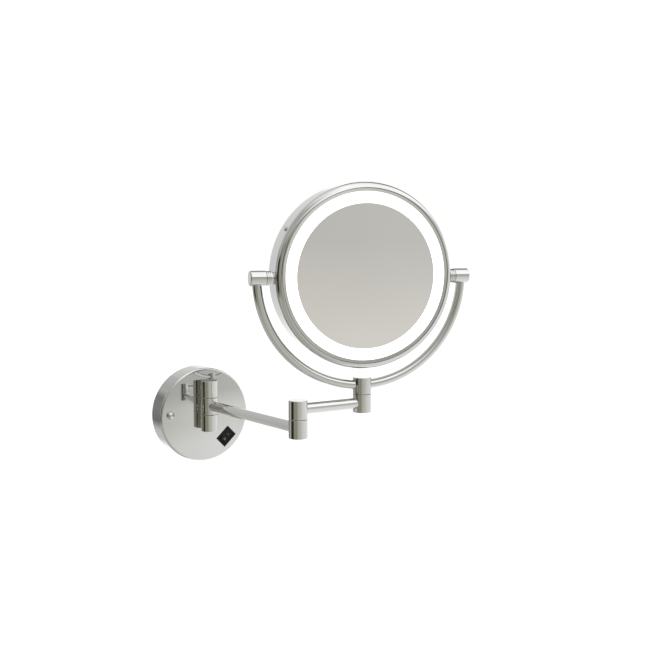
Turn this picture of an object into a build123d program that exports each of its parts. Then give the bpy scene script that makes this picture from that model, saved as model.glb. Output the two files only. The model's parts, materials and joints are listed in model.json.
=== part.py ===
from build123d import *
import os
from math import asin, cos, degrees, radians, sin, sqrt

os.makedirs("parts", exist_ok=True)

# An extendable, lit shaving mirror on a two-part swing arm, fixed to a wall.
# Millimetres. The wall is the plane y = 0, the user stands at -Y and +Z is up.
# The origin is the centre of the wall unit on the wall.

# Clearances
running = 0.05  # radial, a turning pin in its bore
shank_gap = 0.05  # radial, a screw or nipple in its hole
port_gap = 0.05  # radial, the cable in a hole that holds it
moving_gap = 0.3  # between pieces that move past each other
glass_gap = 0.05  # between glass and what frames it

# Wall unit
cover_radius = 57.0
cover_depth = 28.0
cover_wall = 1.2
cover_edge = 2.5
bracket_gap = 3.8  # between the bracket's edge and the cover's bore
bracket_thickness = 1.5
wall_screw_margin = 6.0  # from the bracket's edge to a wall screw
wall_screw_hole = 2.5
cover_screw_margin = 11.9  # from the cover's edge to a cover screw
cover_screw_heading = -4.45
cover_screw_shank = 2.0
cover_screw_dome = 4.7
cover_screw_flange = 5.2
cover_screw_flange_height = 0.8
cover_screw_reach = 8.0
cover_post_radius = 4.0
cover_post_rivet = 2.5
entry_height = 26.0
entry_bore = 5.0
entry_collar = 8.0
entry_flange = 10.5
entry_flange_thickness = 1.7

# Driver, terminal block and switch in the wall unit
driver_size = (22.0, 15.0, 50.0)
driver_place = (-24.0, 7.0)
driver_ear = 5.0
driver_corner = 1.5
driver_ear_thickness = 2.0
driver_screw_radius = 1.5
driver_screw_head = 2.4
driver_screw_head_height = 1.6
driver_screw_reach = 1.2
terminal_size = (30.0, 12.0, 12.0)
terminal_place = (-16.0, -32.0)
terminal_ways = 3
terminal_screw_radius = 2.2
terminal_screw_sink = 2.0
terminal_screw_length = 4.0
terminal_wire_radius = 1.8
terminal_wire_height = 5.0
terminal_floor = 3.0
switch_margin = 15.9  # from the cover's edge to the middle of the switch
switch_heading = -47.4
switch_turn = 43.0
switch_bezel = (21.0, 15.0)
switch_bezel_height = 1.6
switch_bezel_edge = 0.5
switch_body = (19.2, 12.8)
switch_body_depth = 11.5
switch_window = (16.6, 10.6)
switch_pocket_depth = 7.0
switch_tab = (0.8, 4.8, 6.0)
rocker_swing = 12.0
rocker_rim = 1.3
rocker_height = 4.6
rocker_axle = 1.2
rocker_axle_depth = 1.0
rocker_axle_reach = 0.8

# Hinge stacks
hub_radius = 10.25
hub_height = 20.0
hub_gap = 0.5
hub_edge = 0.45
hub_floor = 4.0
washer_thickness = 0.4
washer_inset = 0.65
pin_radius = 4.5
pin_bore = 2.8
pin_end_gap = 0.5
neck_length = 12.5  # from the cover's face to the hinge axis
neck_radius = 6.0
nipple_radius = 5.0
nipple_bore = 2.6
hinge_plate_width = 26.0
hinge_plate_margin = 8.0
hinge_plate_thickness = 2.0
hinge_nut_flats = 14.0
hinge_nut_thickness = 4.0
nipple_end = 1.0
grub_radius = 1.5
grub_length = 4.6
grub_key = 0.75
grub_key_depth = 1.6
groove_depth = 0.8
grub_rise = 4.2

# Arms
rear_arm_height = 13.3
rear_arm_length = 170.0
rear_arm_heading = -81.6
front_arm_length = 78.8
front_arm_heading = -3.15
arm_tube_radius = 6.0
arm_tube_wall = 1.2
socket_depth = 3.0
cable_radius = 2.0

# Yoke
yoke_hub_height = 18.0
yoke_bore_depth = 12.0
yoke_heading = -14.0
yoke_gap = 12.5  # between the head and the yoke
yoke_rise = 9.7  # lowest point of the yoke's centre line above the foot of its hub
yoke_tube_radius = 5.0
yoke_tube_wall = 1.2
yoke_cable_radius = 1.6
yoke_socket_wall = 2.0
barrel_radius = 8.3
barrel_length = 17.4
barrel_edge = 1.5
barrel_floor = 4.0
barrel_socket_wall = 1.15

# Pivots of the head
stud_radius = 4.0
stud_bore = 1.9
collar_length = 8.0
collar_radius = 7.8
collar_rings = 3
collar_groove = 0.5  # width between two rings
collar_neck = 6.6
collar_neck_length = 2.2
pivot_nut_flats = 10.0
pivot_nut_thickness = 4.0
pivot_drop = 1.5

# Head
head_radius = 100.0
head_step = 0.2
head_lean = 1.5
head_back = 21.0
head_joint = 8.5
casing_wall = 1.0
casing_edge = 3.0
bezel_top = 16.0
bead_round = 7.0
bead_width = 5.8
groove_bottom = 14.7
groove_width = 0.9
bezel_width = 9.8
lip_outer_top = 15.4
lip_inner_top = 14.7
skirt_thickness = 1.9
skirt_back = 6.0
glass_face = 14.0
glass_thickness = 3.0
glass_edge = 0.3
lit_width = 12.1
backing_thickness = 2.0
backing_inset = 1.0
tray_overlap = 3.5  # how far the lit tray reaches under the lip
tray_shelf = 3.0  # how far the tray reaches under the mirror
tray_wall = 1.5
tray_depth = 10.5
tray_flange = 1.5
led_board_gap = 2.0
led_board_thickness = 1.2
led_count = 36
led_size = (2.8, 3.5, 1.0)
connector_size = (14.0, 7.0, 8.0)
connector_inset = 38.8
connector_wall = 1.2
casing_screw_depth = 1.0
casing_screw_angles = (30.0, 150.0, 270.0)
casing_screw_radius = 1.5
casing_screw_head = 2.6
casing_screw_head_height = 1.1
casing_screw_edge = 0.5
slot_width = 0.6
slot_length = 2.8
slot_depth = 0.6
tab_thickness = 3.2
tab_half_angle = 4.5
tab_margin = 4.0

# Levels and radii that follow from the sizes above
bracket_radius = cover_radius - cover_wall - bracket_gap
wall_screw_offset = bracket_radius - wall_screw_margin
cover_screw_x = (cover_radius - cover_screw_margin) * cos(radians(cover_screw_heading))
cover_screw_z = (cover_radius - cover_screw_margin) * sin(radians(cover_screw_heading))
hinge_distance = cover_depth + neck_length
hub_pitch = hub_height + hub_gap
front_arm_height = rear_arm_height + hub_pitch
lower_hinge_height = rear_arm_height - hub_pitch
yoke_hub_low = front_arm_height + hub_height / 2 + hub_gap
yoke_hub_top = yoke_hub_low + yoke_hub_height
pin_hole = pin_radius + running
arm_tube_bore = arm_tube_radius - arm_tube_wall
socket_start = hub_radius - socket_depth
cover_face = -cover_depth
cover_inside = cover_face + cover_wall
casing_radius = head_radius - head_step
casing_bore = casing_radius - casing_wall
skirt_outer = casing_bore - shank_gap
skirt_inner = skirt_outer - skirt_thickness
barrel_inner = casing_radius + collar_length + moving_gap
barrel_outer = barrel_inner + barrel_length
barrel_middle = barrel_inner + barrel_length / 4
yoke_radius = head_radius + yoke_gap + yoke_tube_radius
pivot_height = yoke_hub_low + yoke_rise + yoke_radius
yoke_bore_top = yoke_hub_low + yoke_bore_depth
yoke_grub_height = yoke_hub_low + grub_rise
grub_tip = pin_radius - groove_depth + moving_gap / 2
lip_radius = head_radius - bezel_width
mirror_radius = lip_radius - lit_width
tray_outer_radius = lip_radius + tray_overlap
tray_inner_radius = mirror_radius - tray_shelf

AXIAL = (Align.CENTER, Align.CENTER, Align.MIN)
nodes = {}


# ---------------------------------------------------------------- shapes
def disc(radius, low, high):
    """Upright cylinder about Z between two heights."""
    return Pos(0, 0, low) * Cylinder(radius, high - low, align=AXIAL)


def washer(outer, inner, low, high):
    return disc(outer, low, high) - disc(inner, low, high)


def rod(radius, start, end):
    """Cylinder from one point to another."""
    run = Vector(*end) - Vector(*start)
    return Plane(origin=start, z_dir=run) * Cylinder(radius, run.length, align=AXIAL)


def pipe(outer, inner, start, end):
    return rod(outer, start, end) - rod(inner, start, end)


def hexagon(flats, start, end):
    """Six-sided bar from one point to another, given its size across flats."""
    run = Vector(*end) - Vector(*start)
    outline = Plane(origin=start, z_dir=run) * RegularPolygon(flats / 2, 6, major_radius=False)
    return extrude(outline, run.length)


def outline(*edges):
    """Face inside a closed run of edges drawn in the XY plane."""
    return make_face(list(edges))


def turned(face):
    """Solid of revolution about the Y axis."""
    return revolve(face, Axis.Y, 360)


def annulus(outer, inner, depth_low, depth_high):
    """Ring about the Y axis; depth is measured towards the user."""
    return pipe(outer, inner, (0, -depth_low, 0), (0, -depth_high, 0))


def shell(radius, mouth, floor, wall, edge):
    """Thin drum about Y, open at the mouth and closed by a floor, with a rounded edge."""
    inward = wall if floor < mouth else -wall
    bore = radius - wall
    outer = FilletPolyline((radius, mouth), (radius, floor), (0, floor), radius=edge)
    inside = floor + inward
    inner = FilletPolyline((0, inside), (bore, inside), (bore, mouth), radius=edge - wall)
    axis_line = Line((0, floor), (0, inside))
    rim = Line((bore, mouth), (radius, mouth))
    return turned(outline(outer, axis_line, inner, rim))


def casing_screw_rods(radius, inner, outer):
    """Rods that run out from the head's axis, one for each screw in the side of the casing."""
    found = []
    for angle in casing_screw_angles:
        across = (cos(radians(angle)), sin(radians(angle)))
        start = (across[0] * inner, -casing_screw_depth, across[1] * inner)
        end = (across[0] * outer, -casing_screw_depth, across[1] * outer)
        found.append(rod(radius, start, end))
    return found


def both_sides(shape):
    return [shape, mirror(shape, Plane.YZ)]


def opposite(shape):
    """A shape and its copy on the other side of the wall unit's axis."""
    return [shape, Rot(0, 180, 0) * shape]


def group(shapes):
    return Compound(children=list(shapes))


# ---------------------------------------------------------------- hinge pieces
def hub(low, high):
    """Plain hinge barrel with softened ends."""
    body = disc(hub_radius, low, high)
    return fillet(body.edges().filter_by(GeomType.CIRCLE), hub_edge)


def hub_port(direction, height):
    """Cable hole from the bore of a hub to its arm socket."""
    end = direction * hub_radius
    return rod(cable_radius + port_gap, (0, 0, height), (end, 0, height))


def arm_socket(direction, height):
    start = direction * socket_start
    end = direction * (hub_radius + 1)
    return rod(arm_tube_radius, (start, 0, height), (end, 0, height))


def grub_hole(height):
    return rod(grub_radius, (0, 0, height), (0, hub_radius + 1, height))


def grub_screw(height, inner):
    """Headless set screw whose tip stands in the groove of a pin, on the wall side of a hub."""
    body = rod(grub_radius, (0, inner, height), (0, inner + grub_length, height))
    end = inner + grub_length
    key = hexagon(2 * grub_key, (0, end - grub_key_depth, height), (0, end, height))
    return body - key


def grub_groove(height):
    half = grub_radius + moving_gap
    return washer(pin_radius + 1, pin_radius - groove_depth, height - half, height + half)


def hinge_pin(low, high, ports, groove_height=None):
    """Hollow pin with side holes for the cable and, on a single joint, a groove for its set screw."""
    pin = disc(pin_radius, low, high) - disc(pin_bore, low, high)
    for height, side in ports:
        pin -= rod(cable_radius + port_gap, (0, 0, height), (*side, height))
    if groove_height is not None:
        pin -= grub_groove(groove_height)
    return pin


def hinge_washer(low):
    return washer(hub_radius - washer_inset, pin_hole, low, low + washer_thickness)


# ---------------------------------------------------------------- wall unit
def wall_unit():
    hinge_heights = (lower_hinge_height, front_arm_height)
    rear_axis = Pos(0, -hinge_distance, 0)
    plate_front = cover_inside + hinge_plate_thickness

    # bracket on the wall, with its two riveted posts
    bracket = rod(bracket_radius, (0, 0, 0), (0, -bracket_thickness, 0))
    for side in (-1, 1):
        at = side * wall_screw_offset
        bracket -= rod(wall_screw_hole, (0, 0, at), (0, -bracket_thickness, at))
        x, z = side * cover_screw_x, side * cover_screw_z
        bracket -= rod(cover_post_rivet, (x, 0, z), (x, -bracket_thickness, z))
    bracket -= rod(entry_collar, (0, 0, entry_height), (0, -bracket_thickness, entry_height))
    nodes["mounting_bracket"] = bracket

    post = rod(cover_post_radius, (x, -bracket_thickness, z), (x, cover_inside, z))
    post += rod(cover_post_rivet, (x, 0, z), (x, -bracket_thickness, z))
    thread_end = cover_inside + cover_screw_reach + 1
    post -= rod(cover_screw_shank, (x, cover_inside, z), (x, thread_end, z))
    nodes["cover_posts"] = group(opposite(post))

    # bush in the hole where the supply cable comes out of the wall
    bush_front = -bracket_thickness - entry_flange_thickness
    bush = rod(entry_collar, (0, 0, entry_height), (0, -bracket_thickness, entry_height))
    bush += rod(entry_flange, (0, -bracket_thickness, entry_height), (0, bush_front, entry_height))
    bush -= rod(entry_bore, (0, 0, entry_height), (0, bush_front, entry_height))
    nodes["cable_entry_bush"] = bush

    # cover with its holes for screws, hinge nipples and switch
    cover = shell(cover_radius, 0, cover_face, cover_wall, cover_edge)
    hole = cover_screw_shank + shank_gap
    for side in (-1, 1):
        start = (side * cover_screw_x, cover_face, side * cover_screw_z)
        end = (side * cover_screw_x, cover_inside, side * cover_screw_z)
        cover -= rod(hole, start, end)
    for height in hinge_heights:
        start, end = (0, cover_face, height), (0, cover_inside, height)
        cover -= rod(nipple_radius + shank_gap, start, end)
    cover -= switch_frame() * Box(
        switch_body[0] + 2 * shank_gap, switch_body[1] + 2 * shank_gap, 4 * cover_wall
    )
    nodes["wall_cover"] = cover

    tip = cover_face + cover_screw_reach
    flange_front = cover_face - cover_screw_flange_height
    screw = rod(cover_screw_shank, (x, cover_face, z), (x, tip, z))
    screw += rod(cover_screw_flange, (x, cover_face, z), (x, flange_front, z))
    dome = Pos(x, flange_front, z) * Sphere(cover_screw_dome)
    wide = 4 * cover_screw_dome
    front_half = Pos(x, flange_front - wide / 2, z) * Box(wide, wide, wide)
    screw += dome & front_half
    nodes["cover_screws"] = group(opposite(screw))

    # fixed hinge hubs on hollow nipples, drawn up against the cover by nuts
    plate_low = hinge_heights[0] - hinge_plate_margin
    plate_high = hinge_heights[1] + hinge_plate_margin
    plate_middle = (plate_low + plate_high) / 2
    plate = Pos(0, cover_inside + hinge_plate_thickness / 2, plate_middle) * Box(
        hinge_plate_width, hinge_plate_thickness, plate_high - plate_low
    )
    nuts = []
    nipple_back = plate_front + hinge_nut_thickness + nipple_end
    for height in hinge_heights:
        start, end = (0, cover_inside, height), (0, plate_front, height)
        plate -= rod(nipple_radius + shank_gap, start, end)
        nut_end = (0, plate_front + hinge_nut_thickness, height)
        nut = hexagon(hinge_nut_flats, end, nut_end) - rod(nipple_radius, end, nut_end)
        nuts.append(nut)
    nodes["hinge_plate"] = plate
    nodes["hinge_nuts"] = group(nuts)

    bore_low = hinge_heights[0] - hub_height / 2 + hub_floor
    bore_high = hinge_heights[1] + hub_height / 2 - hub_floor
    for name, height in zip(("wall_hinge_lower", "wall_hinge_upper"), hinge_heights):
        piece = rear_axis * hub(height - hub_height / 2, height + hub_height / 2)
        piece += rod(neck_radius, (0, -hinge_distance, height), (0, cover_face, height))
        piece += rod(nipple_radius, (0, cover_face, height), (0, nipple_back, height))
        piece -= rear_axis * disc(pin_radius, bore_low, bore_high)
        piece -= rod(nipple_bore, (0, -hinge_distance, height), (0, nipple_back, height))
        nodes[name] = piece

    ports = ((front_arm_height, (0, hub_radius)), (rear_arm_height, (0, -hub_radius)))
    nodes["wall_hinge_pin"] = rear_axis * hinge_pin(bore_low, bore_high, ports)
    lower_top = lower_hinge_height + hub_height / 2
    upper_bottom = front_arm_height - hub_height / 2
    washers = [hinge_washer(lower_top), hinge_washer(upper_bottom - washer_thickness)]
    nodes["wall_hinge_washers"] = group([rear_axis * item for item in washers])

    wall_electrics()


def wall_electrics():
    # driver on the bracket, beside the hinge
    wide, deep, tall = driver_size
    x, z = driver_place
    back = -bracket_thickness
    box = Pos(x, back - deep / 2, z) * Box(wide, deep, tall)
    box = fillet(box.edges().filter_by(Axis.Y), driver_corner)
    driver = box + Pos(x, back - driver_ear_thickness / 2, z) * Box(
        wide / 2, driver_ear_thickness, tall + 2 * driver_ear
    )
    screws = []
    for side in (-1, 1):
        at = z + side * (tall + driver_ear) / 2
        front = back - driver_ear_thickness
        tip = (x, back + driver_screw_reach, at)
        driver -= rod(driver_screw_radius + shank_gap, (x, back, at), (x, front, at))
        screw = rod(driver_screw_radius, (x, front, at), tip)
        screw += rod(driver_screw_head, (x, front, at), (x, front - driver_screw_head_height, at))
        screws.append(screw)
        nodes["mounting_bracket"] -= rod(driver_screw_radius, (x, back, at), tip)
    nodes["led_driver"] = driver
    nodes["driver_screws"] = group(screws)

    # terminal block for the supply cable
    long, deep, tall = terminal_size
    x, z = terminal_place
    block = Pos(x, back - deep / 2, z) * Box(long, deep, tall)
    pitch = long / terminal_ways
    screws = []
    for way in range(terminal_ways):
        at = x + (way - (terminal_ways - 1) / 2) * pitch
        wire = back - terminal_wire_height
        top = back - deep + terminal_screw_sink
        block -= rod(terminal_screw_radius, (at, back - deep, z), (at, back - terminal_floor, z))
        block -= rod(terminal_wire_radius, (at, wire, z - tall / 2), (at, wire, z + tall / 2))
        screws.append(rod(terminal_screw_radius, (at, top + terminal_screw_length, z), (at, top, z)))
    nodes["terminal_block"] = block
    nodes["terminal_screws"] = group(screws)
    rocker_switch()


def switch_frame():
    """Plane of the switch on the cover: x along its long side, z out towards the user."""
    reach = cover_radius - switch_margin
    x = reach * cos(radians(switch_heading))
    z = reach * sin(radians(switch_heading))
    along = (cos(radians(switch_turn)), 0, sin(radians(switch_turn)))
    return Plane(origin=(x, cover_face, z), x_dir=along, z_dir=(0, -1, 0))


def rocker_profile():
    """Side view of the rocker about its axle: two flat faces that meet in a shallow valley."""
    half = switch_window[0] / 2 - moving_gap
    rise = half * sin(radians(rocker_swing / 2))
    root = rocker_rim - rocker_height
    shoulder = (0.82 * half, 0.3 * root)
    foot = (0.35 * half, root)
    upper = [(-half, rocker_rim + rise / 2), (0, rocker_rim - rise / 2), (half, rocker_rim + rise / 2)]
    lower = [shoulder, foot, (-foot[0], foot[1]), (-shoulder[0], shoulder[1])]
    return Polyline(*upper, *lower, close=True)


def rocker_switch():
    place = switch_frame()
    bezel = Box(*switch_bezel, switch_bezel_height, align=AXIAL)
    bezel = chamfer(bezel.faces().sort_by(Axis.Z)[-1].edges(), switch_bezel_edge)
    body = Box(*switch_body, switch_body_depth, align=(Align.CENTER, Align.CENTER, Align.MAX))
    pocket_height = switch_pocket_depth + switch_bezel_height
    pocket = Pos(0, 0, switch_bezel_height) * Box(
        *switch_window, pocket_height, align=(Align.CENTER, Align.CENTER, Align.MAX)
    )
    housing = bezel + body - pocket
    side = switch_window[1] / 2
    axle_end = side + rocker_axle_reach
    hole_end = axle_end + running
    depth = -rocker_axle_depth
    axle_hole = rod(rocker_axle + running, (0, -hole_end, depth), (0, hole_end, depth))
    nodes["switch_housing"] = place * (housing - axle_hole)

    face = make_face(Plane.XZ * rocker_profile())
    body = extrude(face, side - moving_gap, both=True)
    body += rod(rocker_axle, (0, -axle_end, depth), (0, axle_end, depth))
    rest = Pos(0, 0, depth) * Rot(0, rocker_swing / 2, 0) * Pos(0, 0, -depth)
    nodes["switch_rocker"] = place * (rest * body)

    thick, wide, long = switch_tab
    tabs = []
    for step in (-1, 0, 1):
        at = Pos(step * switch_body[0] / 3.2, 0, -switch_body_depth)
        tabs.append(place * (at * Box(thick, wide, long, align=(Align.CENTER, Align.CENTER, Align.MAX))))
    nodes["switch_tabs"] = group(tabs)


# ---------------------------------------------------------------- arms
def arm_pieces(name, place, length, height, inner_hub, outer_hub, pin, pin_washer):
    """Tube between two hubs, its pin and washer and the cable that runs inside."""
    far = Pos(length, 0, 0)
    ends = ((socket_start, 0, height), (length - socket_start, 0, height))
    nodes[f"{name}_inner_hub"] = place * inner_hub
    nodes[f"{name}_tube"] = place * pipe(arm_tube_radius, arm_tube_bore, *ends)
    nodes[f"{name}_outer_hub"] = place * (far * outer_hub)
    nodes[f"{name}_pin"] = place * (far * pin)
    nodes[f"{name}_washer"] = place * (far * pin_washer)
    clear = pin_hole + moving_gap
    nodes[f"{name}_cable"] = place * rod(cable_radius, (clear, 0, height), (length - clear, 0, height))


def rear_arm():
    low = rear_arm_height - hub_height / 2
    high = rear_arm_height + hub_height / 2
    floor = low + hub_floor
    grub_height = high + hub_gap + grub_rise
    inner = hub(low, high) - disc(pin_hole, low, high)
    inner -= arm_socket(1, rear_arm_height) + hub_port(1, rear_arm_height)
    outer = hub(low, high) - disc(pin_radius, floor, high)
    outer -= arm_socket(-1, rear_arm_height) + hub_port(-1, rear_arm_height)
    pin_top = high + hub_gap + hub_height - hub_floor - pin_end_gap
    ports = ((rear_arm_height, (-hub_radius, 0)), (front_arm_height, (0, -hub_radius)))
    pin = hinge_pin(floor, pin_top, ports, grub_height)
    arm_pieces(
        "rear_arm", rear_place, rear_arm_length, rear_arm_height, inner, outer, pin, hinge_washer(high)
    )


def front_arm():
    low = front_arm_height - hub_height / 2
    high = front_arm_height + hub_height / 2
    grub_height = low + grub_rise
    inner = hub(low, high) - disc(pin_hole, low, high - hub_floor)
    inner -= arm_socket(1, front_arm_height) + hub_port(1, front_arm_height)
    inner -= grub_hole(grub_height)
    floor = low + hub_floor
    outer = hub(low, high) - disc(pin_radius, floor, high)
    outer -= arm_socket(-1, front_arm_height) + hub_port(-1, front_arm_height)
    pin_top = yoke_bore_top - pin_end_gap
    ports = ((front_arm_height, (-hub_radius, 0)),)
    pin = hinge_pin(floor, pin_top, ports, yoke_grub_height)
    washer_above = hinge_washer(high)
    arm_pieces(
        "front_arm", front_place, front_arm_length, front_arm_height, inner, outer, pin, washer_above
    )
    nodes["elbow_set_screw"] = front_place * grub_screw(grub_height, grub_tip)


# ---------------------------------------------------------------- yoke
def yoke_arc(radius, start, end):
    """Round bar along the right half of the yoke's circle; angles are from its lowest point."""
    face = Plane(origin=(0, 0, pivot_height - yoke_radius), z_dir=(1, 0, 0)) * Circle(radius)
    centre = Axis((0, 0, pivot_height), (0, -1, 0))
    return revolve(face, centre, end - start).rotate(centre, start)


def yoke():
    start = degrees(asin((pin_hole + yoke_socket_wall) / yoke_radius))
    end = 90 - degrees(asin((stud_radius + running + barrel_socket_wall) / yoke_radius))
    solid = yoke_arc(yoke_tube_radius, start, end)
    tube = solid - yoke_arc(yoke_tube_radius - yoke_tube_wall, start - 0.1, end + 0.1)
    right, left = both_sides(tube)
    nodes["yoke_tube_left"] = yoke_place * left
    nodes["yoke_tube_right"] = yoke_place * right

    cable_start = degrees(asin((pin_hole + moving_gap) / yoke_radius))
    cable_end = 90 - degrees(asin((stud_radius + running + moving_gap) / yoke_radius))
    nodes["yoke_cable"] = yoke_place * yoke_arc(yoke_cable_radius, cable_start, cable_end)
    port = yoke_arc(yoke_cable_radius + port_gap, cable_start - 2, cable_end + 0.2)

    body = hub(yoke_hub_low, yoke_hub_top) - disc(pin_hole, yoke_hub_low, yoke_bore_top)
    for item in both_sides(solid):
        body -= item
    body -= port + grub_hole(yoke_grub_height)
    nodes["yoke_hub"] = yoke_place * body
    nodes["yoke_set_screw"] = yoke_place * grub_screw(yoke_grub_height, grub_tip)

    # barrels at the ends of the yoke, bored for the studs of the head
    bar = rod(barrel_radius, (barrel_inner, 0, pivot_height), (barrel_outer, 0, pivot_height))
    rims = bar.edges().filter_by(GeomType.CIRCLE).sort_by(Axis.X)
    bar = fillet(rims[-1], barrel_edge)
    bar = chamfer(bar.edges().filter_by(GeomType.CIRCLE).sort_by(Axis.X)[0], hub_edge)
    bore_end = barrel_outer - barrel_floor
    bar -= rod(stud_radius + running, (barrel_inner, 0, pivot_height), (bore_end, 0, pivot_height))
    bar -= rod(
        grub_radius, (barrel_middle, 0, pivot_height), (barrel_middle, barrel_radius + 1, pivot_height)
    )
    bar -= solid
    screw_place = Pos(barrel_middle, 0, pivot_height)
    screw_length = barrel_radius - stud_radius + groove_depth - 2 * moving_gap
    tip = stud_radius - groove_depth + moving_gap
    screw = rod(grub_radius, (0, tip, 0), (0, tip + screw_length, 0))
    key_end = tip + screw_length
    screw -= hexagon(2 * grub_key, (0, key_end - grub_key_depth, 0), (0, key_end, 0))
    nodes["pivot_barrel_left"] = yoke_place * both_sides(bar)[1]
    nodes["pivot_barrel_right"] = yoke_place * (bar - port)
    nodes["pivot_set_screws"] = group([yoke_place * item for item in both_sides(screw_place * screw)])


# ---------------------------------------------------------------- head
def pivots():
    """Hollow studs, collars and nuts that carry the head, in the frame of the pivot axis."""
    stud_inner = casing_bore - pivot_nut_thickness - 0.5
    stud_outer = barrel_outer - barrel_floor - pin_end_gap
    stud = pipe(stud_radius, stud_bore, (stud_inner, 0, 0), (stud_outer, 0, 0))
    half = grub_radius + moving_gap
    stud -= pipe(
        stud_radius + 1,
        stud_radius - groove_depth,
        (barrel_middle - half, 0, 0),
        (barrel_middle + half, 0, 0),
    )
    right, left = both_sides(stud)
    nodes["pivot_stud_left"] = pivot_place * left
    nodes["pivot_stud_right"] = pivot_place * right

    casing_outside = Pos(0, 0, pivot_drop) * rod(casing_radius, (0, -head_back, 0), (0, head_back, 0))
    casing_inside = Pos(0, 0, pivot_drop) * rod(casing_bore, (0, -head_back, 0), (0, head_back, 0))
    end = barrel_inner - moving_gap
    collar = rod(collar_neck, (casing_bore, 0, 0), (end, 0, 0))
    step = (collar_length - collar_neck_length) / collar_rings
    for index in range(collar_rings):
        high = end - index * step
        collar += rod(collar_radius, (high - step + collar_groove, 0, 0), (high, 0, 0))
    collar -= rod(stud_radius, (casing_bore, 0, 0), (end, 0, 0))
    nodes["pivot_collars"] = group([pivot_place * item for item in both_sides(collar - casing_outside)])

    nut = hexagon(pivot_nut_flats, (casing_bore - pivot_nut_thickness, 0, 0), (casing_bore, 0, 0))
    nut -= rod(stud_radius, (casing_bore - pivot_nut_thickness, 0, 0), (casing_bore, 0, 0))
    nodes["pivot_nuts"] = group([pivot_place * item for item in both_sides(nut & casing_inside)])


def casing():
    body = shell(casing_radius, -head_joint, head_back, casing_wall, casing_edge)
    for side in (-1, 1):
        start = (side * (casing_bore - 1), 0, -pivot_drop)
        end = (side * (casing_radius + 1), 0, -pivot_drop)
        body -= rod(stud_radius + shank_gap, start, end)
    hole = casing_screw_radius + shank_gap
    for item in casing_screw_rods(hole, casing_bore - 1, casing_radius + 1):
        body -= item
    nodes["head_casing"] = head_place * body


def bezel():
    """Front ring: a rounded bead outside, a fine groove and a sloping lip that holds the glass."""
    lip_back = -(glass_face + glass_gap)
    centre = (head_radius - bead_round, -(bezel_top - bead_round))
    bead_inner = head_radius - bead_width
    bead_end = centre[1] - sqrt(bead_round**2 - (bead_inner - centre[0]) ** 2)
    shoulder = bead_round * sqrt(0.5)
    on_bead = (centre[0] + shoulder, centre[1] - shoulder)
    side = Line((head_radius, -head_joint), (head_radius, centre[1]))
    bead = ThreePointArc((head_radius, centre[1]), on_bead, (bead_inner, bead_end))
    rest = Polyline(
        (bead_inner, bead_end),
        (bead_inner - groove_width / 3, -groove_bottom),
        (bead_inner - groove_width, -lip_outer_top),
        (lip_radius, -lip_inner_top),
        (lip_radius, lip_back),
        (skirt_inner, lip_back),
        (skirt_inner, -skirt_back),
        (skirt_outer, -skirt_back),
        (skirt_outer, -head_joint),
        (head_radius, -head_joint),
    )
    ring = turned(outline(side, bead, rest))
    tab_inner = skirt_outer - tab_thickness
    tab_back = casing_screw_depth - tab_margin
    tabs = annulus(skirt_outer, tab_inner, tab_back, head_joint)
    for angle in casing_screw_angles:
        turn = Rot(0, -angle, 0)
        width = 2 * head_radius * sin(radians(tab_half_angle))
        slab = Pos(head_radius, 0, 0) * Box(head_radius / 2, 4 * head_back, width)
        ring += tabs & (turn * slab)
    for item in casing_screw_rods(casing_screw_radius, tab_inner - 1, skirt_outer + 1):
        ring -= item
    nodes["front_bezel"] = head_place * ring

    screws = []
    for angle in casing_screw_angles:
        inner, outer = tab_inner, casing_radius
        head_end = outer + casing_screw_head_height
        screw = rod(casing_screw_radius, (inner, 0, 0), (outer, 0, 0))
        cap = rod(casing_screw_head, (outer, 0, 0), (head_end, 0, 0))
        cap = fillet(cap.edges().filter_by(GeomType.CIRCLE).sort_by(Axis.X)[-1], casing_screw_edge)
        for size in ((slot_width, slot_length), (slot_length, slot_width)):
            cap -= Pos(head_end, 0, 0) * Box(2 * slot_depth, *size)
        placed = Rot(0, -angle, 0) * Pos(0, -casing_screw_depth, 0) * (screw + cap)
        screws.append(head_place * placed)
    nodes["casing_screws"] = group(screws)


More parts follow.
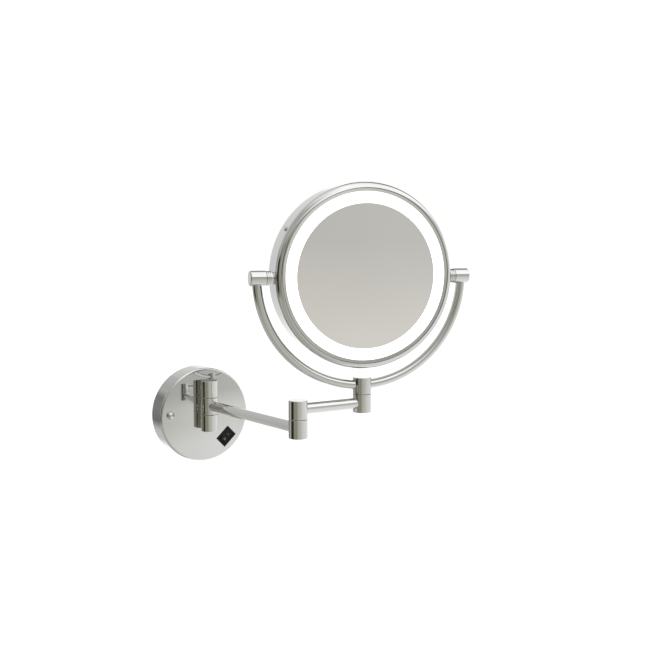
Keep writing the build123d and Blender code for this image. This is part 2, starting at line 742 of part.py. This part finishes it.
def optics():
    """Glass, lit ring and the tray of lamps behind it."""
    glass_back = glass_face - glass_thickness
    glass = rod(mirror_radius, (0, -glass_back, 0), (0, -glass_face, 0))
    glass = chamfer(glass.edges().filter_by(GeomType.CIRCLE).sort_by(Axis.Y)[0], glass_edge)
    nodes["mirror_glass"] = head_place * glass
    diffuser_outer = skirt_inner - moving_gap
    diffuser = annulus(diffuser_outer, mirror_radius + glass_gap, glass_back, glass_face)
    nodes["light_diffuser"] = head_place * diffuser

    backing_back = glass_back - backing_thickness
    backing = rod(mirror_radius - backing_inset, (0, -backing_back, 0), (0, -glass_back, 0))
    nodes["mirror_backing"] = head_place * backing

    tray_back = glass_back - tray_depth
    tray_inner = tray_inner_radius + tray_wall
    tray = annulus(tray_outer_radius, tray_inner_radius, tray_back, tray_back + tray_wall)
    tray += annulus(tray_inner, tray_inner_radius, tray_back, backing_back)
    tray += annulus(tray_outer_radius, tray_outer_radius - tray_wall, tray_back, glass_back)
    tray += annulus(skirt_inner - glass_gap, tray_outer_radius, glass_back - tray_flange, glass_back)
    nodes["reflector_tray"] = head_place * tray

    board_back = tray_back + tray_wall
    board_front = board_back + led_board_thickness
    led_board_outer = tray_outer_radius - tray_wall - led_board_gap
    led_board_inner = tray_inner + led_board_gap
    board = annulus(led_board_outer, led_board_inner, board_back, board_front)
    nodes["led_board"] = head_place * board
    tangential, radial, tall = led_size
    middle = (led_board_outer + led_board_inner) / 2
    lamp = Pos(middle, -board_front - tall / 2, 0) * Box(radial, tall, tangential)
    lamps = []
    for index in range(led_count):
        lamps.append(head_place * (Rot(0, index * 360 / led_count, 0) * lamp))
    nodes["led_chips"] = group(lamps)

    long, deep, tall = connector_size
    back = head_back - casing_wall
    at = connector_inset - casing_bore
    block = Pos(at, back - deep / 2, 0) * Box(long, deep, tall)
    block -= Pos(at, back - deep, 0) * Box(long - 2 * connector_wall, deep, tall - 2 * connector_wall)
    nodes["head_connector"] = head_place * block


# ---------------------------------------------------------------- places of the moving bodies
def swung(place, heading, reach):
    """Frame at the end of an arm that is laid out along X."""
    return place * Pos(reach, 0, 0) * Rot(0, 0, heading)


rear_place = Pos(0, -hinge_distance, 0) * Rot(0, 0, rear_arm_heading)
front_place = swung(rear_place, front_arm_heading - rear_arm_heading, rear_arm_length)
yoke_place = swung(front_place, yoke_heading - front_arm_heading, front_arm_length)
pivot_place = yoke_place * Pos(0, 0, pivot_height) * Rot(head_lean, 0, 0)
head_place = pivot_place * Pos(0, 0, pivot_drop)

wall_unit()
rear_arm()
front_arm()
yoke()
pivots()
casing()
bezel()
optics()

for name, shape in nodes.items():
    export_step(shape, f"parts/{name}.step")

for label, place in (("elbow", front_place), ("post", yoke_place), ("pivot", pivot_place)):
    print(label, [round(value, 4) for value in place.position])
print(len(nodes), "pieces")
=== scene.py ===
import json
from math import pi, radians

import bpy
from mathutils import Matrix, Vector


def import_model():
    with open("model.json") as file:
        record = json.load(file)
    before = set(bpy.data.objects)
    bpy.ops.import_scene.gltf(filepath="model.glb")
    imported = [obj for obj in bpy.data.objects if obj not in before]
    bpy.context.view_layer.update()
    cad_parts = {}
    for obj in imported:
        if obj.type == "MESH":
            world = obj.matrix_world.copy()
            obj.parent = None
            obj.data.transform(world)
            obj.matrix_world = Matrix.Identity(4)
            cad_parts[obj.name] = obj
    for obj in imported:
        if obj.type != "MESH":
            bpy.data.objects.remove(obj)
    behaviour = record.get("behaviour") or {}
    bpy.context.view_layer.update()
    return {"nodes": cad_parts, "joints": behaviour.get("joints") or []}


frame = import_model()
NODES = frame["nodes"]
JOINTS = {joint["name"]: joint for joint in frame["joints"]}

# camera, in metres and degrees
CAMERA_AT = (-0.43623, -0.99185, 0.21223)
CAMERA_HEADING = -32.27
CAMERA_PITCH = -5.604
CAMERA_LENS = 48.44
SENSOR = 36.0

# floor, background and softbox, in metres and watts
FLOOR_HEIGHT = -0.32
FLOOR_SIZE = 40.0
FLOOR_GLOW = 0.25
BACKGROUND = (1.0, 1.0, 0.997)
SOFTBOX_AT = (0.3, -0.6, 1.6)
SOFTBOX_TARGET = (0.05, -0.15, 0.1)
SOFTBOX_SIZE = 1.2
SOFTBOX_POWER = 6.0
# brightness of the studio's rings, times the value of each stop
STUDIO = 1.17

# radius of the slight bulge that the face of the wall cover reflects with
COVER_CROWN = 0.42
LIT_RING_GLOW = 1.15
# specular level of the black plastics
BLACK_SHINE = 0.2
# printed marks on the rocker
MARK_OFFSET = 0.0038
MARK_RADIUS = 0.0011
MARK_STROKE = 0.0003
MARK_COLOUR = (0.3, 0.3, 0.29)
MARK_STRENGTH = 0.75


# ---------------------------------------------------------------- materials
class Look:
    """A node material around one Principled shader, with noise and bump in the piece's own space."""

    def __init__(self, name, **sockets):
        self.material = bpy.data.materials.new(name)
        self.material.use_nodes = True
        self.tree = self.material.node_tree
        self.shader = self.tree.nodes["Principled BSDF"]
        for socket, value in sockets.items():
            self.shader.inputs[socket.replace("_", " ")].default_value = value
        self.space = self.tree.nodes.new("ShaderNodeTexCoord").outputs["Object"]

    def link(self, source, target):
        self.tree.links.new(source, target)

    def node(self, kind, **values):
        node = self.tree.nodes.new(kind)
        for name, value in values.items():
            setattr(node, name, value)
        return node

    def stretched(self, scale):
        mapping = self.node("ShaderNodeMapping")
        mapping.inputs["Scale"].default_value = scale
        self.link(self.space, mapping.inputs["Vector"])
        return mapping.outputs["Vector"]

    def noise(self, scale, detail=3.0, roughness=0.5, stretch=None, distortion=0.0):
        node = self.node("ShaderNodeTexNoise")
        node.inputs["Scale"].default_value = scale
        node.inputs["Detail"].default_value = detail
        node.inputs["Roughness"].default_value = roughness
        node.inputs["Distortion"].default_value = distortion
        self.link(self.stretched(stretch) if stretch else self.space, node.inputs["Vector"])
        return node.outputs["Fac"]

    def cells(self, scale):
        node = self.node("ShaderNodeTexVoronoi", feature="F1")
        node.inputs["Scale"].default_value = scale
        self.link(self.space, node.inputs["Vector"])
        return node.outputs["Distance"]

    def axes(self):
        node = self.node("ShaderNodeSeparateXYZ")
        self.link(self.space, node.inputs["Vector"])
        return [node.outputs[axis] for axis in "XYZ"]

    def math(self, operation, *values):
        node = self.node("ShaderNodeMath", operation=operation)
        for socket, value in zip(node.inputs, values):
            if isinstance(value, (int, float)):
                socket.default_value = value
            else:
                self.link(value, socket)
        return node.outputs["Value"]

    def add(self, first, second):
        return self.math("ADD", first, second)

    def scaled(self, value, factor):
        return self.math("MULTIPLY", value, factor)

    def spread(self, value, low, high, start=0.3, end=0.7):
        node = self.node("ShaderNodeMapRange")
        node.inputs["From Min"].default_value = start
        node.inputs["From Max"].default_value = end
        node.inputs["To Min"].default_value = low
        node.inputs["To Max"].default_value = high
        self.link(value, node.inputs["Value"])
        return node.outputs["Result"]

    def sum(self, first, second, share=0.5):
        node = self.node("ShaderNodeMix", data_type="FLOAT")
        node.inputs["Factor"].default_value = share
        self.link(first, node.inputs["A"])
        self.link(second, node.inputs["B"])
        return node.outputs["Result"]

    def colour(self, value, *stops):
        """Base colour from (position, colour) stops."""
        node = self.node("ShaderNodeValToRGB")
        fill_ramp(node.color_ramp, stops)
        self.link(value, node.inputs["Fac"])
        self.link(node.outputs["Color"], self.shader.inputs["Base Color"])
        return node.outputs["Color"]

    def rough(self, value, low, high, start=0.3, end=0.7):
        self.link(self.spread(value, low, high, start, end), self.shader.inputs["Roughness"])

    def bump(self, height, distance, strength=1.0):
        node = self.node("ShaderNodeBump")
        node.inputs["Distance"].default_value = distance
        node.inputs["Strength"].default_value = strength
        self.link(height, node.inputs["Height"])
        self.link(node.outputs["Normal"], self.shader.inputs["Normal"])


def fill_ramp(ramp, stops):
    while len(ramp.elements) > 1:
        ramp.elements.remove(ramp.elements[-1])
    for index, (position, colour) in enumerate(stops):
        element = ramp.elements[0] if index == 0 else ramp.elements.new(position)
        element.position = position
        element.color = (*colour, 1.0)


def chrome(name="chrome_plate_look", crown=None):
    """Polished plating. A crown is the radius of the slight bulge that a pressed cover's face has."""
    look = Look(name, Metallic=1.0)
    cloud = look.noise(14.0, 4.0)
    smear = look.noise(55.0, 5.0, 0.6, distortion=0.6)
    look.colour(cloud, (0.35, (0.59, 0.59, 0.577)), (0.65, (0.63, 0.63, 0.622)))
    look.rough(look.sum(cloud, smear, 0.65), 0.025, 0.07)
    height = look.scaled(look.noise(420.0, 2.0), 0.000004)
    if crown:
        x, _, z = look.axes()
        square = look.add(look.math("POWER", x, 2.0), look.math("POWER", z, 2.0))
        height = look.add(height, look.scaled(square, -0.5 / crown))
    look.bump(height, 1.0)
    return look.material


def zinc():
    look = Look("zinc_steel_look", Metallic=1.0)
    flake = look.cells(160.0)
    grain = look.noise(900.0, 3.0, stretch=(1.0, 1.0, 0.06))
    look.colour(flake, (0.1, (0.5, 0.52, 0.54)), (0.5, (0.63, 0.64, 0.65)), (0.9, (0.7, 0.7, 0.68)))
    look.rough(look.sum(flake, grain, 0.5), 0.24, 0.46)
    look.bump(grain, 0.00002)
    return look.material


def brass():
    look = Look("brass_parts_look", Metallic=1.0)
    cloud = look.noise(90.0, 4.0)
    turning = look.noise(1600.0, 2.0, stretch=(0.1, 0.1, 1.0))
    look.colour(cloud, (0.3, (0.66, 0.49, 0.22)), (0.7, (0.8, 0.63, 0.33)))
    look.rough(look.sum(cloud, turning), 0.2, 0.38)
    look.bump(turning, 0.00001)
    return look.material


def bright_steel():
    look = Look("steel_screws_look", Metallic=1.0)
    grain = look.noise(1300.0, 3.0)
    look.colour(grain, (0.3, (0.42, 0.42, 0.41)), (0.7, (0.58, 0.58, 0.57)))
    look.rough(grain, 0.16, 0.32)
    look.bump(grain, 0.000008)
    return look.material


def plastic(name, dark, light, low, high, grain_scale=1500.0, depth=0.00002, **sockets):
    look = Look(name, **sockets)
    cloud = look.noise(60.0, 4.0)
    grain = look.noise(grain_scale, 3.0, 0.6)
    look.colour(look.sum(cloud, grain, 0.4), (0.35, dark), (0.65, light))
    look.rough(grain, low, high)
    look.bump(grain, depth)
    return look


def mirror():
    look = Look("mirror_face_look", Metallic=1.0)
    haze = look.noise(9.0, 3.0)
    look.colour(haze, (0.35, (0.80, 0.785, 0.765)), (0.65, (0.82, 0.805, 0.785)))
    look.rough(look.noise(30.0, 5.0, 0.6), 0.012, 0.03)
    return look.material


def diffuser():
    look = Look("frosted_diffuser_look", Roughness=0.5)
    frost = look.noise(1200.0, 3.0)
    look.colour(frost, (0.3, (0.93, 0.93, 0.92)), (0.7, (0.99, 0.99, 0.98)))
    glow = look.node("ShaderNodeValToRGB")
    fill_ramp(glow.color_ramp, ((0.3, (0.985, 0.985, 0.975)), (0.7, (1.0, 1.0, 0.995))))
    look.link(look.noise(40.0, 2.0), glow.inputs["Fac"])
    look.link(glow.outputs["Color"], look.shader.inputs["Emission Color"])
    look.shader.inputs["Emission Strength"].default_value = LIT_RING_GLOW
    look.bump(frost, 0.00001)
    return look.material


def rocker_marks():
    """Black plastic with a worn grey bar and ring printed on the two ends of the rocker."""
    look = plastic(
        "rocker_plastic_look", (0.003, 0.003, 0.003), (0.01, 0.01, 0.01), 0.26, 0.38,
        Specular_IOR_Level=BLACK_SHINE,
    )
    axis = JOINTS["switch_rock"]
    middle = Vector(axis["pos_m"])
    across = Vector(axis["axis"]).normalized()
    along = across.cross(Vector((0.0, -1.0, 0.0)))
    spots = []
    for direction in (along, across):
        node = look.node("ShaderNodeVectorMath", operation="DOT_PRODUCT")
        look.link(look.space, node.inputs[0])
        node.inputs[1].default_value = direction
        spots.append(look.math("SUBTRACT", node.outputs["Value"], middle.dot(direction)))
    u, v = spots

    def near(value, centre, distance):
        gap = look.math("ABSOLUTE", look.math("SUBTRACT", value, centre))
        return look.math("LESS_THAN", gap, distance)

    bar = look.math("MULTIPLY", near(u, MARK_OFFSET, MARK_STROKE), near(v, 0.0, MARK_RADIUS))
    squares = [look.math("POWER", value, 2.0) for value in (look.add(u, MARK_OFFSET), v)]
    reach = look.math("SQRT", look.add(*squares))
    print_on = look.math("MAXIMUM", bar, near(reach, MARK_RADIUS, MARK_STROKE))
    ink = look.node("ShaderNodeMix", data_type="RGBA")
    plain = look.shader.inputs["Base Color"].links[0].from_socket
    colours = [socket for socket in ink.inputs if socket.type == "RGBA"]
    look.link(look.scaled(print_on, MARK_STRENGTH), ink.inputs["Factor"])
    look.link(plain, colours[0])
    colours[1].default_value = (*MARK_COLOUR, 1.0)
    printed = [socket for socket in ink.outputs if socket.type == "RGBA"][0]
    look.link(printed, look.shader.inputs["Base Color"])
    return look.material


# slot: darker and lighter colour, lowest and highest roughness, and the grain's scale
PLASTICS = {
    "nylon_washer": ((0.03, 0.03, 0.028), (0.06, 0.06, 0.055), 0.45, 0.6),
    "cable_sheath": ((0.02, 0.02, 0.02), (0.045, 0.045, 0.045), 0.5, 0.7),
    "rubber_bush": ((0.015, 0.015, 0.015), (0.04, 0.04, 0.038), 0.6, 0.8),
    "driver_case": ((0.72, 0.72, 0.69), (0.82, 0.82, 0.8), 0.4, 0.55),
    "terminal_plastic": ((0.68, 0.65, 0.54), (0.78, 0.76, 0.67), 0.4, 0.55),
    "backing_plastic": ((0.24, 0.24, 0.24), (0.33, 0.33, 0.32), 0.5, 0.65),
    "white_plastic": ((0.84, 0.84, 0.83), (0.93, 0.93, 0.92), 0.3, 0.45),
    "board_white": ((0.8, 0.8, 0.78), (0.9, 0.9, 0.88), 0.3, 0.45, 700.0),
    "led_yellow": ((0.8, 0.62, 0.16), (0.93, 0.8, 0.35), 0.3, 0.4),
    "connector_plastic": ((0.78, 0.77, 0.72), (0.86, 0.86, 0.83), 0.35, 0.5),
}
LOOKS = {
    "chrome_plate": chrome(),
    "zinc_steel": zinc(),
    "brass_parts": brass(),
    "steel_screws": bright_steel(),
    "black_plastic": plastic(
        "black_plastic_look", (0.003, 0.003, 0.003), (0.009, 0.009, 0.009), 0.3, 0.45,
        Specular_IOR_Level=BLACK_SHINE,
    ).material,
    "rocker_plastic": rocker_marks(),
    "mirror_face": mirror(),
    "frosted_diffuser": diffuser(),
}
for slot, values in PLASTICS.items():
    LOOKS[slot] = plastic(slot + "_look", *values).material
for part in NODES.values():
    for place in part.material_slots:
        place.material = LOOKS[place.material.name.split(".")[0]]
NODES["wall_cover"].material_slots[0].material = chrome("crowned_cover_look", COVER_CROWN)


# ---------------------------------------------------------------- studio
def world():
    """Soft studio light for reflections: rings of tones by heading, blended by elevation."""
    studio = bpy.data.worlds.new("studio")
    bpy.context.scene.world = studio
    studio.use_nodes = True
    tree = studio.node_tree
    new, link = tree.nodes.new, tree.links.new
    direction = new("ShaderNodeSeparateXYZ")
    link(new("ShaderNodeTexCoord").outputs["Generated"], direction.inputs["Vector"])
    x, y, z = (direction.outputs[axis] for axis in "XYZ")

    def math(operation, first, second=0.0):
        node = new("ShaderNodeMath")
        node.operation = operation
        for socket, value in zip(node.inputs, (first, second)):
            if isinstance(value, (int, float)):
                socket.default_value = value
            else:
                link(value, socket)
        return node.outputs["Value"]

    def ramp(value, stops):
        node = new("ShaderNodeValToRGB")
        fill_ramp(node.color_ramp, stops)
        link(value, node.inputs["Fac"])
        return node.outputs["Color"]

    def ring(value, stops):
        return ramp(value, [(degrees / 360, colour) for degrees, colour in stops])

    def mix(share, first, second):
        node = new("ShaderNodeMix")
        node.data_type = "RGBA"
        link(share, node.inputs["Factor"])
        for name, value in (("A", first), ("B", second)):
            socket = [one for one in node.inputs if one.name == name and one.type == "RGBA"][0]
            if isinstance(value, tuple):
                socket.default_value = (*value, 1.0)
            else:
                link(value, socket)
        return [one for one in node.outputs if one.type == "RGBA"][0]

    # heading as a share of a whole turn, elevation in degrees
    heading = math("FRACT", math("ADD", math("DIVIDE", math("ARCTAN2", x, y), 2 * pi), 1.0))
    elevation = math("MULTIPLY", math("ARCSINE", z), 180 / pi)
    shell = ring(heading, BANDS[0][1])
    for (_, _, low_end), (start, stops, _) in zip(BANDS, BANDS[1:]):
        share = math("DIVIDE", math("SUBTRACT", elevation, low_end), start - low_end)
        share.node.use_clamp = True
        shell = mix(share, shell, ring(heading, stops))
    # the camera itself sees a plain background
    seen = mix(new("ShaderNodeLightPath").outputs["Is Camera Ray"], shell, BACKGROUND)
    link(seen, tree.nodes["Background"].inputs["Color"])


def grey(value, warmth=0.0):
    """A grey that leans to olive as its warmth rises."""
    value *= STUDIO
    return (value, value * (1 - 0.03 * warmth), value * (1 - 0.25 * warmth))


# Rings of the studio: headings in degrees, from the wall side round by the right, the front and the left
BELOW = (
    (0, grey(0.68)),
    (15, grey(1.1)),
    (90, grey(1.05)),
    (120, grey(0.92)),
    (150, grey(0.92)),
    (180, grey(0.68, 0.2)),
    (240, grey(0.43, 0.5)),
    (285, grey(0.5, 0.3)),
    (345, grey(0.6)),
)
LEVEL = (
    (0, grey(0.72)),
    (16, grey(0.82)),
    (32, grey(1.1)),
    (98, grey(0.93)),
    (117, grey(0.86, 0.1)),
    (146, grey(0.82, 0.2)),
    (160, grey(0.73, 0.2)),
    (172, grey(0.66, 0.25)),
    (184, grey(0.60, 0.35)),
    (207, grey(0.52, 0.5)),
    (218, grey(0.42, 0.6)),
    (229, grey(0.31, 0.8)),
    (235, grey(0.28, 1.0)),
    (253, grey(0.34, 1.0)),
    (262, grey(0.24, 1.0)),
    (270, grey(0.03, 1.0)),
    (297, grey(0.02, 0.8)),
    (307, grey(0.5, 0.3)),
    (317, grey(0.54, 0.1)),
    (330, grey(0.27)),
    (343, grey(0.17)),
    (350, grey(0.4)),
    (357, grey(0.72)),
)
EYE_HIGH = (
    (0, grey(0.70)),
    (16, grey(0.75)),
    (32, grey(1.1)),
    (90, grey(1.3)),
    (112, grey(0.85)),
    (135, grey(0.62, 0.1)),
    (160, grey(0.56, 0.15)),
    (180, grey(0.51, 0.2)),
    (204, grey(0.46, 0.3)),
    (210, grey(0.14, 0.6)),
    (216, grey(0.14, 0.6)),
    (222, grey(0.42, 0.6)),
    (255, grey(0.36, 0.8)),
    (266, grey(0.05, 0.8)),
    (295, grey(0.03, 0.8)),
    (302, grey(0.56, 0.1)),
    (318, grey(0.56)),
    (330, grey(0.3)),
    (343, grey(0.2)),
    (350, grey(0.4)),
    (357, grey(0.7)),
)
SHADE = (
    (0, grey(0.7)),
    (28, grey(0.75)),
    (90, grey(1.0)),
    (130, grey(0.66, 0.2)),
    (160, grey(0.5, 0.3)),
    (185, grey(0.34, 0.4)),
    (220, grey(0.36, 0.6)),
    (280, grey(0.3, 0.6)),
    (300, grey(0.5, 0.2)),
    (320, grey(0.58)),
    (345, grey(0.5)),
)
ABOVE = (
    (0, grey(0.62)),
    (18, grey(0.62)),
    (28, grey(0.2, 0.3)),
    (75, grey(0.2, 0.3)),
    (95, grey(1.3)),
    (185, grey(1.35)),
    (205, grey(0.95)),
    (225, grey(0.5, 0.3)),
    (270, grey(0.5, 0.3)),
    (300, grey(0.38)),
    (316, grey(0.6)),
    (345, grey(0.6)),
)
OVERHEAD = ((0, grey(0.9)), (90, grey(1.2)), (180, grey(1.35)), (270, grey(0.9)))
# elevation where each ring begins, its colours, and the elevation where it ends
BANDS = (
    (-90, BELOW, -22),
    (-14, LEVEL, -9),
    (-3, EYE_HIGH, 10),
    (16, SHADE, 20),
    (27, ABOVE, 52),
    (68, OVERHEAD, 90),
)
world()


def pale_floor():
    side = FLOOR_SIZE / 2
    mesh = bpy.data.meshes.new("floor")
    corners = [(x * side, y * side, FLOOR_HEIGHT) for x, y in ((-1, -1), (1, -1), (1, 1), (-1, 1))]
    mesh.from_pydata(corners, [], [(0, 1, 2, 3)])
    floor = bpy.data.objects.new("floor", mesh)
    bpy.context.scene.collection.objects.link(floor)
    look = Look("floor_look", Roughness=0.9, Specular_IOR_Level=0.0)
    look.colour(look.noise(3.0), (0.3, (0.93, 0.93, 0.93)), (0.7, (0.94, 0.94, 0.94)))
    look.shader.inputs["Emission Color"].default_value = (1.0, 1.0, 1.0, 1.0)
    look.shader.inputs["Emission Strength"].default_value = FLOOR_GLOW
    floor.data.materials.append(look.material)
    floor.visible_glossy = False


def softbox(name, at, target, size, power):
    data = bpy.data.lights.new(name, "AREA")
    data.shape = "DISK"
    data.size = size
    data.energy = power
    lamp = bpy.data.objects.new(name, data)
    bpy.context.scene.collection.objects.link(lamp)
    lamp.location = at
    lamp.rotation_euler = (Vector(target) - Vector(at)).to_track_quat("-Z", "Y").to_euler()
    lamp.visible_glossy = False
    lamp.visible_camera = False


def camera():
    data = bpy.data.cameras.new("camera")
    data.sensor_width = SENSOR
    data.lens = CAMERA_LENS
    data.clip_start = 0.01
    eye = bpy.data.objects.new("camera", data)
    bpy.context.scene.collection.objects.link(eye)
    eye.location = CAMERA_AT
    eye.rotation_euler = (radians(90 + CAMERA_PITCH), 0, radians(CAMERA_HEADING))
    bpy.context.scene.camera = eye


pale_floor()
softbox("softbox_above", SOFTBOX_AT, SOFTBOX_TARGET, SOFTBOX_SIZE, SOFTBOX_POWER)
camera()
bpy.context.scene.view_settings.view_transform = "Standard"
